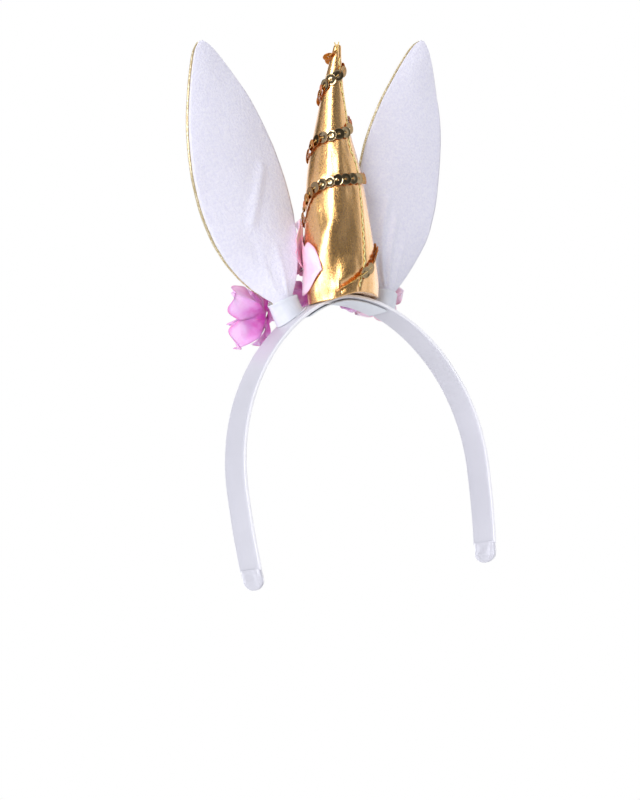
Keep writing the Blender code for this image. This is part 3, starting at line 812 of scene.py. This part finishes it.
def foil_surface(turn, share):
    """Points on the stuffed foil: pulled in under the string and along the seam, with soft folds."""
    points = horn_point(turn, share)
    size = smooth(share, HORN_SECTIONS)
    low = np.clip(1.0 - share / FOIL_LOW_UNTIL, 0.0, 1.0)
    groove = -(FOIL_GROOVE + FOIL_LOW_GROOVE * low) * fade(string_gap(turn, share), FOIL_GROOVE_WIDTH)
    stretched = points * np.array([1.0, 1.0, FOIL_FOLD_SLENDERNESS])
    folds = FOIL_FOLD * ripple(stretched, FOIL_FOLD_WIDTH, 2.0)
    folds = folds + FOIL_FINE_FOLD * ripple(stretched, FOIL_FINE_FOLD_WIDTH, 5.0)
    seam_turn = (turn - smooth(share, HORN_SEAM) + 0.5) % 1.0 - 0.5
    seam_gap = seam_turn * math.tau * HORN_RADIUS * size
    tuck = SEAM_RIDGE * fade(seam_gap, SEAM_RIDGE_WIDTH) - SEAM_TUCK * fade(seam_gap, SEAM_TUCK_WIDTH)
    calm = 1.0 - SEAM_CALM * fade(seam_gap, SEAM_CALM_WIDTH)
    rise = (groove + folds * calm) * size + tuck
    girth = math.tau * HORN_RADIUS
    creases = scale_creases(HORN_CREASES, girth, HORN_HEIGHT)
    pressed = crease_depth(((turn + 0.5) % 1.0 - 0.5) * girth, share * HORN_HEIGHT, creases)
    return points + horn_normal(turn, share) * (rise * MM - pressed)[..., None]


def make_horn(gold):
    """The stuffed foil cone: the string pulls it in, and it puckers lengthwise."""
    rows, columns = 280, 256
    share = np.linspace(0.0, 1.0, rows)[:, None] ** 0.97
    turn = np.linspace(0.0, 1.0, columns, endpoint=False)[None, :]
    points = foil_surface(*np.broadcast_arrays(turn, share))
    under = []
    for ring in FOIL_UNDER_RINGS:
        rim = horn_point(turn[0], 0.0)
        x = rim[:, 0] * ring
        y = HORN_SET_BACK + (rim[:, 1] - HORN_SET_BACK) * ring
        under.append(np.stack([x, y, horn_foot_height(x, y)], axis=-1))
    top = horn_point(turn[0], 1.0)
    crown = [top.mean(axis=0) + (top - top.mean(axis=0)) * ring + np.array([0.0, 0.0, rise * MM])
             for ring, rise in FOIL_CROWN_RINGS]
    points = np.concatenate([np.array(under[::-1]), points, np.array(crown)])
    mesh = grid_mesh("horn_foil", points, True)
    horn = add_piece(mesh, gold, ("horn",))
    return horn


def make_seam(thread):
    """A row of stitches up the horn, each leaning a little the other way from the last."""
    share = np.linspace(HORN_SEAM[0][0], HORN_SEAM[-1][0] - 0.03, STITCH_SAMPLES)
    turn = smooth(share, HORN_SEAM)
    path = foil_surface(turn, share) + horn_normal(turn, share) * STITCH_LIFT
    along = length_along(path)
    count = int(along[-1] / STITCH_LENGTH)
    bm = bmesh.new()
    for number in range(count):
        ends = []
        for offset, lean in zip(STITCH_SPAN, (-STITCH_LEAN, STITCH_LEAN)):
            place = (number + offset) * STITCH_LENGTH
            here = [float(np.interp(place, along, path[:, k])) for k in range(3)]
            where = float(np.interp(place, along, share))
            normal = Vector(horn_normal(float(smooth(where, HORN_SEAM)), where))
            aside = normal.cross(Vector((0.0, 0.0, 1.0))).normalized()
            ends.append((Vector(here) + aside * lean * (-1) ** number, normal))
        low, high = ends[0][0], ends[1][0]
        ahead = (high - low).normalized()
        made = bmesh.ops.create_uvsphere(bm, u_segments=8, v_segments=6, radius=1.0)
        size = Vector((STITCH_RADIUS, STITCH_RADIUS, (high - low).length / 2 + STITCH_RADIUS))
        turn_to = ahead.to_track_quat("Z", "Y")
        for vert in made["verts"]:
            vert.co = (low + high) / 2 + ends[0][1] * 0.1 * MM + turn_to @ (vert.co * size)
    mesh = mesh_from(bm, "horn_stitches")
    mesh.shade_smooth()
    return add_piece(mesh, thread)


def make_sequins(film, plastic, thread):
    """Nearly flat sequins that overlap along their thread."""
    first, last = STRING_TURNS[0][0], STRING_TURNS[-1][0]
    turns = np.linspace(first, last, STRING_SAMPLES)
    path = string_path(turns)
    along = length_along(path)
    places = np.interp(np.arange(int(along[-1] / SEQUIN_PITCH) + 1) * SEQUIN_PITCH, along, turns)
    sides = SEQUIN_SIDES
    angle = np.linspace(0.0, math.tau, sides, endpoint=False)
    bm = bmesh.new()
    radius = SEQUIN_DIAMETER / 2
    for number, turn in enumerate(places):
        share = string_share(turn)
        centre = horn_point(turn, share)
        normal = horn_normal(turn, share)
        ahead = unit(horn_point(turn + 0.001, string_share(turn + 0.001)) - centre)
        across = unit(np.cross(normal, ahead))
        ahead = np.cross(across, normal)
        wobble = wobble_at((number * 0.73, 4.1, 2.2))
        tilt = SEQUIN_TILT + SEQUIN_TILT_SPREAD * wobble.x
        roll = SEQUIN_ROLL_SPREAD * wobble.y + math.radians(float(smooth(turn, SEQUIN_ROLLS)))
        face_ahead = ahead * math.cos(tilt) + normal * math.sin(tilt)
        face_out = normal * math.cos(tilt) - ahead * math.sin(tilt)
        face_across = across * math.cos(roll) + face_out * math.sin(roll)
        face_out = face_out * math.cos(roll) - across * math.sin(roll)
        sunk = float(smooth(turn, SEQUIN_ROLLS, 2)) * MM
        seat = centre + normal * (SEQUIN_STAND_OFF + SEQUIN_LIFT - sunk)
        rings = []
        for share_out, height in SEQUIN_PROFILE:
            x, y = np.cos(angle) * share_out * radius, np.sin(angle) * share_out * radius
            ring = seat + face_ahead * x[:, None] + face_across * y[:, None] + face_out * height * radius
            rings.append([bm.verts.new(point) for point in ring])
        for low, high in zip(rings, rings[1:]):
            for k in range(sides):
                bm.faces.new((low[k], high[k], high[k - sides + 1], low[k - sides + 1]))
    mesh = mesh_from(bm, "sequins")
    mesh.shade_smooth()
    sequins = thicken(add_piece(mesh, film, ("sequin_string",)), SEQUIN_WALL)
    mesh.materials.append(plastic)
    sequins.modifiers["wall"].material_offset = 1
    sequins.modifiers["wall"].material_offset_rim = 1
    route = np.linspace(first, last, THREAD_SAMPLES)
    centres = horn_point(route, string_share(route))
    lifted = centres + horn_normal(route, string_share(route)) * (SEQUIN_STAND_OFF + THREAD_LIFT)
    add_tube("sequin_thread", lifted, THREAD_RADIUS, thread)
    for number, lean in enumerate(THREAD_END_LEANS):
        end = lifted[-1] + np.linspace(0.0, THREAD_END_LENGTH, 8)[:, None] * np.array(lean)
        add_tube(f"thread_end_{number + 1}", end, THREAD_END_RADIUS, thread)
    return sequins


def add_tube(name, points, radius, material):
    """A thin mesh tube along points."""
    sides = 6
    ahead = unit(np.gradient(points, axis=0))
    side = unit(np.cross(ahead, np.array([0.13, 0.31, 0.94])))
    over = np.cross(ahead, side)
    angle = np.linspace(0.0, math.tau, sides, endpoint=False)
    ring = np.cos(angle)[None, :, None] * side[:, None] + np.sin(angle)[None, :, None] * over[:, None]
    mesh = grid_mesh(name, points[:, None] + ring * radius, True)
    return add_piece(mesh, material)


def ear_foot(ear):
    out = EAR_FOOT_SPREAD * ear.foot
    return np.array([ear.side * out, 0.0, float(arch_height(out, BAND_THICKNESS + CLEARANCE))])


def ear_tip(ear):
    return np.array([ear.side * EAR_TIP_SPREAD * ear.spread, 0.0, EAR_TIP_HEIGHT * ear.height])


def ear_points(ear, across, share, width):
    """Points in the middle of an ear's thickness; across runs from -1 at its inner edge to 1."""
    foot = ear_foot(ear)
    rise = ear_tip(ear) - foot
    height = unit(rise)
    bow = -EAR_BOW * np.sin(math.pi * share) * (1.0 - share)
    bulge = ear.side * EAR_HALF_WIDTH * ear.bulge * np.sin(math.pi * share)
    middle = foot + rise * share[..., None]
    middle = middle + np.stack([bulge, EAR_TIP_BACK * share + bow, np.zeros_like(share)], axis=-1)
    flat_out = np.array([ear.side * height[2], 0.0, -ear.side * height[0]])
    back = np.array([0.0, 1.0, 0.0])
    twist = (EAR_TWIST * np.maximum(0.0, 1.0 - share / EAR_TWIST_UNTIL))[..., None]
    outward = flat_out * np.cos(twist) - back * np.sin(twist)
    behind = back * np.cos(twist) + flat_out * np.sin(twist)
    pinch = EAR_PINCH * np.maximum(0.0, 1.0 - share / EAR_PINCH_UNTIL)
    forward = ((EAR_CUP * width + pinch) * across ** 2)[..., None]
    return middle + outward * (EAR_HALF_WIDTH * ear.width * width * across)[..., None] - behind * forward


def above_band(points):
    """Points with those that would sink into the band lifted to its outer face."""
    low = points[..., 2] < TAB_REACH
    face = arch_height(np.where(low, points[..., 0], 0.0), BAND_THICKNESS + CLEARANCE)
    height = np.where(low, np.maximum(points[..., 2], face), points[..., 2])
    return np.concatenate([points[..., :2], height[..., None]], axis=-1)


def inset_share(width, inset):
    """How far towards the middle line each point moves, to cut a layer smaller by the inset."""
    return (inset / np.maximum(inset, EAR_HALF_WIDTH * width) if inset else 0.0 * width)[..., None]


def crease_depth(x, y, rows):
    """The depth at places x, y on a cloth that creases press in: each from and to a place, then mm."""
    depth = np.zeros(np.broadcast(x, y).shape)
    for start_x, start_y, end_x, end_y, deep, wide in rows:
        reach_x, reach_y = end_x - start_x, end_y - start_y
        place = ((x - start_x) * reach_x + (y - start_y) * reach_y) / (reach_x ** 2 + reach_y ** 2)
        nearest = np.clip(place, 0.0, 1.0)
        gap = np.hypot(x - start_x - nearest * reach_x, y - start_y - nearest * reach_y)
        depth = depth + deep * MM * fade(gap, wide * MM)
    return depth


def scale_creases(rows, width, height):
    """Creases with their ends, given as shares, turned into places on a cloth."""
    return [(from_x * width, from_y * height, to_x * width, to_y * height, deep, wide)
            for from_x, from_y, to_x, to_y, deep, wide in rows]


def make_ear(name, felt, glitter):
    ear = EARS[name]
    rows, columns = 150, 49
    share, across = grid_of(np.linspace(EAR_SECTIONS[0][0], 1.0, rows), np.linspace(-1.0, 1.0, columns))
    across = ear.side * across
    width = smooth(share, EAR_SECTIONS)
    middle = ear_points(ear, across, share, width)
    normals = grid_normals(middle)
    length = float(np.linalg.norm(middle[-1, columns // 2] - middle[0, columns // 2]))
    layers = (
        ("ear_felt_", "felt", felt, EAR_FELT_THICKNESS, -(CLEARANCE + EAR_FELT_THICKNESS) / 2, FELT_INSET),
        ("ear_glitter_", "glitter", glitter, EAR_GLITTER_THICKNESS,
         (CLEARANCE + EAR_GLITTER_THICKNESS) / 2, 0.0),
    )
    rows_here = [row[1:] for row in EAR_CREASES if row[0] == name]
    creases = scale_creases(rows_here, EAR_HALF_WIDTH, EAR_TIP_HEIGHT)
    pressed = crease_depth(across * EAR_HALF_WIDTH, share * EAR_TIP_HEIGHT, creases)
    dents = EAR_DENT_DEPTH * ripple(middle, EAR_DENT_SIZE, 4.0) + pressed
    for prefix, slot, look, thickness, forward, inset in layers:
        points = middle + (middle[:, columns // 2][:, None] - middle) * inset_share(width, inset)
        points = above_band(points + normals * (forward - dents)[..., None])
        flat = (2.0 * EAR_HALF_WIDTH * ear.width, length)
        mesh = grid_mesh(prefix + name + "_cloth", points, False, flat)
        layer = thicken(add_piece(mesh, look, (prefix + name,)), thickness)
        cut, area = ear_cut(ear, inset)


def cut_area(widths, steps):
    """The flat area of a cut from its widths and the steps along its length between them."""
    return float(((widths[:-1] + widths[1:]) / 2.0 * steps).sum())


def ear_length(ear):
    """The length of an ear's cut, from its tip to the hem under its foot."""
    return float(np.linalg.norm(ear_tip(ear) - ear_foot(ear))) * (1.0 - EAR_SECTIONS[0][0])


def ear_cut(ear, inset):
    """The flat width and length of an ear's layer, and its area by the table of sections."""
    share = np.linspace(EAR_SECTIONS[0][0], 1.0, CUT_SAMPLES)
    widths = 2.0 * ear.width * np.maximum(0.0, EAR_HALF_WIDTH * smooth(share, EAR_SECTIONS) - inset)
    length = ear_length(ear)
    return (float(widths.max()), length), cut_area(widths, length / (CUT_SAMPLES - 1))


def tab_cut(ear):
    """The flat size of the ribbon round an ear's foot: once round with its lap, and its height."""
    turn = np.linspace(0.0, TAB_LAPS * math.tau, CUT_SAMPLES)
    half_width = TAB_WIDTH_SHARE * EAR_HALF_WIDTH * ear.width * float(smooth(TAB_TOP, EAR_SECTIONS))
    side = blunt(np.cos(turn), TAB_SQUARENESS) * half_width
    depth = blunt(np.sin(turn), TAB_SQUARENESS) * TAB_HALF_DEPTH
    around = float(np.hypot(np.diff(side), np.diff(depth)).sum())
    height = ear_length(ear) * (TAB_TOP - EAR_SECTIONS[0][0]) / (1.0 - EAR_SECTIONS[0][0])
    return around, height


def petal_outline(flower, v):
    """Half widths along a petal as shares of its length; one spread on the horn has a wider base."""
    base = PETAL_BASE if flower.facing else SPREAD_BASE
    return np.maximum(smooth(v, PETAL_OUTLINE), base * (1.0 - v))


def make_tab(name, ribbon):
    ear = EARS[name]
    rows, columns = 36, 84
    turns = TAB_LAP_FROM + np.linspace(0.0, TAB_LAPS * math.tau, columns)
    share, turn = grid_of(np.linspace(EAR_SECTIONS[0][0], TAB_TOP, rows), turns)
    lapped = 1.0 + TAB_LAP_GROWTH * (turn - TAB_LAP_FROM) / math.tau + TAB_HEM_GROWTH * (share > TAB_HEM_FROM)
    side = blunt(np.cos(turn), TAB_SQUARENESS) * TAB_WIDTH_SHARE * lapped ** 0.3
    depth = blunt(np.sin(turn), TAB_SQUARENESS) * TAB_HALF_DEPTH * lapped
    width = smooth(share, EAR_SECTIONS)
    step = 0.01
    here = ear_points(ear, ear.side * side, share, width)
    aside = ear_points(ear, ear.side * side + step, share, width) - here
    above = ear_points(ear, ear.side * side, share + step, smooth(share + step, EAR_SECTIONS)) - here
    points = above_band(here + unit(np.cross(aside, above)) * depth[..., None])
    mesh = grid_mesh(f"ear_tab_{name}_ribbon", points, False, TAB_UV_SIZE)
    return thicken(add_piece(mesh, ribbon, (f"ear_tab_{name}",)), TAB_RIBBON_WALL)


def flower_seat(flower):
    if flower.seat == "horn":
        return horn_point(*flower.place) + horn_normal(*flower.place) * FLOWER_STAND_OFF
    ear = EARS[flower.seat]
    outward, forward, up = (PETAL_LENGTH * share for share in flower.place)
    return ear_foot(ear) + np.array([ear.side * outward, -BAND_WIDTH / 2 - forward, up])


def flower_points(flower, across, up, out):
    if flower.facing is None:
        turn = flower.place[0] + across / (math.tau * HORN_RADIUS)
        share = flower.place[1] + up / HORN_HEIGHT
        return horn_point(turn, share) + horn_normal(turn, share) * (FLOWER_STAND_OFF + out)[..., None]
    turn_to_face = np.array(Vector(flower.facing).to_track_quat("Z", "Y").to_matrix())
    local = np.stack([across, up, out], axis=-1)
    return flower_seat(flower) + local @ turn_to_face.T


def above_arch(flower, points):
    """Petals in front of the arch, with their low parts held up to its inner face."""
    if (flower.colour == "orchid" and flower.seat != "horn") or flower.facing is None:
        return points
    inside = np.minimum(np.abs(points[..., 0]), BAND_INNER_HALF_SPAN * PETAL_HELD_SHARE)
    face = arch_height(inside, 0.0) - PETAL_CLEARANCE
    below = np.maximum(0.0, face - points[..., 2])
    return points + np.stack([np.zeros_like(below), -0.5 * below, below], axis=-1)


def make_petals(name, flower, size, spin, width, lift, lengths, seat, look):
    """One layer of separate pointed petals, each folded down its middle, with a ruffled rim."""
    rows, columns = 26, 23
    v, u = grid_of(np.linspace(0.0, 1.0, rows), np.linspace(-1.0, 1.0, columns))
    patches = []
    for number, length in enumerate(lengths):
        odd = wobble_at((number * 1.37, size * 900.0, lift * 9.0))
        reach = FLOWER_EYE + (1.0 - FLOWER_EYE) * v * length
        aside = u * petal_outline(flower, v) * width * length + 0.16 * odd.x * v ** 2
        ruffle = PETAL_RUFFLE * np.sin(13.0 * v + 3.0 * u + 9.0 * odd.y) * np.abs(u) ** 2 * v
        crease = PETAL_CREASE * fade(u, PETAL_CREASE_WIDTH) * np.sin(math.pi * v)
        cup = (PETAL_CUP + PETAL_CUP_SPREAD * odd.z) * np.abs(u) ** 1.6 * np.sin(math.pi * v) ** 0.7
        form = (ruffle + crease + cup) * width * (SPREAD_FLATNESS if flower.facing is None else 1.0)
        rise = lift * reach ** PETAL_CURL * (1.0 + 0.5 * odd.y) + form
        angle = math.radians(spin) + math.tau * number / PETALS + 0.25 * odd.z
        across = (reach * math.cos(angle) - aside * math.sin(angle)) * size
        up = (reach * math.sin(angle) + aside * math.cos(angle)) * size
        out = seat + size * (rise + 0.03 * (number % 2))
        patches.append(above_arch(flower, flower_points(flower, across, up, np.maximum(out, seat))))
    bm = bmesh.new()
    for patch in patches:
        part = grid_mesh("petal", patch, False, (1.0, 1.0))
        bm.from_mesh(part)
        bpy.data.meshes.remove(part)
    mesh = mesh_from(bm, name + "_cloth")
    mesh.shade_smooth()
    return thicken(add_piece(mesh, look, (name,)), PETAL_THICKNESS)


def make_flower(name, looks):
    flower = FLOWERS[name]
    look = looks[flower.colour]
    width = PETAL_WIDTH - flower.notch
    between = flower.spin + math.degrees(math.pi / PETALS)
    layers = (
        ("outer", flower.petal, flower.spin, flower.lift, flower.lengths, 0.0),
        ("inner", flower.inner, between, flower.inner_lift, (1.0,) * PETALS, LAYER_GAP),
    )
    for layer, share, spin, lift, lengths, seat in layers:
        size = share * PETAL_LENGTH
        node = f"flower_{name}_{layer}_petals"
        petals = make_petals(node, flower, size, spin, width, lift, lengths, seat, look)
    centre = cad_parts[f"flower_{name}_centre"].data
    centre.materials.clear()
    centre.materials.append(look)


def towards(azimuth, elevation):
    """The direction of a place seen from the headband: azimuth 0 is in front of the wearer."""
    flat = math.cos(elevation)
    return Vector((math.sin(azimuth) * flat, -math.cos(azimuth) * flat, math.sin(elevation)))


def make_camera():
    back = towards(CAMERA_AZIMUTH, CAMERA_ELEVATION)
    level = Vector((math.cos(CAMERA_AZIMUTH), math.sin(CAMERA_AZIMUTH), 0.0))
    upright = back.cross(level)
    right = level * math.cos(CAMERA_ROLL) + upright * math.sin(CAMERA_ROLL)
    up = back.cross(right)
    place = back * CAMERA_DISTANCE
    aim = right * CAMERA_AIM_RIGHT + up * CAMERA_AIM_UP
    back = (place - aim).normalized()
    right = up.cross(back).normalized()
    up = back.cross(right)
    lens = bpy.data.cameras.new("camera")
    lens.sensor_fit = "VERTICAL"
    lens.sensor_height = CAMERA_SENSOR
    lens.lens = CAMERA_LENS
    camera = bpy.data.objects.new("camera", lens)
    matrix = Matrix((right, up, back)).transposed().to_4x4()
    matrix.translation = place
    camera.matrix_world = matrix
    bpy.context.scene.collection.objects.link(camera)
    bpy.context.scene.camera = camera


def make_studio():
    """White all round for the camera, and soft lamps in a dim room for everything that it lights."""
    world = bpy.data.worlds.new("studio")
    bpy.context.scene.world = world
    world.use_nodes = True
    tree = world.node_tree
    tree.nodes.clear()
    where = add_node(tree, "ShaderNodeTexCoord").outputs["Generated"]
    total = None
    for lamp in LAMPS:
        direction = towards(math.radians(lamp.azimuth), math.radians(lamp.elevation))
        angle = add_node(tree, "ShaderNodeVectorMath", {0: where, 1: direction}, operation="DOT_PRODUCT")
        glow = add_node(tree, "ShaderNodeMapRange", {
            "Value": angle.outputs["Value"],
            "From Min": math.cos(math.radians(lamp.outer)),
            "From Max": math.cos(math.radians(lamp.inner)),
            "To Max": lamp.strength,
        }, interpolation_type="SMOOTHSTEP").outputs["Result"]
        total = glow if total is None else add_node(tree, "ShaderNodeMath", {0: total, 1: glow}).outputs[0]
    strength = add_node(tree, "ShaderNodeMath", {0: total, 1: STUDIO_GLOOM}).outputs[0]
    lit = add_node(tree, "ShaderNodeBackground", {"Strength": strength, "Color": LAMP_COLOUR})
    plain = add_node(tree, "ShaderNodeBackground", {"Color": BACKDROP_COLOUR})
    rays = add_node(tree, "ShaderNodeLightPath").outputs["Is Camera Ray"]
    mix = add_node(tree, "ShaderNodeMixShader", {0: rays, 1: lit.outputs[0], 2: plain.outputs[0]})
    add_node(tree, "ShaderNodeOutputWorld", {0: mix.outputs[0]})


def make_floor():
    bm = bmesh.new()
    bmesh.ops.create_circle(bm, cap_ends=True, segments=96, radius=FLOOR_RADIUS)
    mesh = mesh_from(bm, "floor")
    look = Look("floor_paint", Base_Color=(0.9, 0.9, 0.9, 1.0), Roughness=0.9)
    mesh.materials.append(look.material)
    floor = bpy.data.objects.new("floor", mesh)
    floor.location.z = -FLOOR_DEPTH
    bpy.context.scene.collection.objects.link(floor)


def main():
    gold = gold_look()
    satin = satin_look()
    ribbon = ribbon_look()
    smooth_ribbon = smooth_ribbon_look()
    felt = felt_look()
    glitter = glitter_look()
    petals = {
        "orchid": petal_look("orchid_petals", (0.68, 0.03, 0.44), (0.82, 0.32, 0.72), (0.92, 0.58, 0.88)),
        "blush": petal_look("blush_petals", (0.93, 0.42, 0.58), (0.96, 0.62, 0.76), (0.98, 0.76, 0.87)),
    }
    sleeve = make_band(satin)
    ends = [make_band_end("band_end_left", 1.0, satin), make_band_end("band_end_right", -1.0, satin)]
    make_lining(ribbon)
    make_horn(gold)
    thread = thread_look("gold_thread", (0.95, 0.66, 0.16))
    make_seam(thread_look("seam_thread", (1.0, 0.88, 0.32)))
    make_sequins(sequin_look(), sequin_back_look(), thread)
    for name in EARS:
        make_ear(name, felt, glitter)
        make_tab(name, smooth_ribbon)
        tab_cut(EARS[name])
    for name in FLOWERS:
        make_flower(name, petals)
    make_floor()
    make_studio()
    make_camera()
    bpy.context.scene.view_settings.view_transform = "Standard"


main()
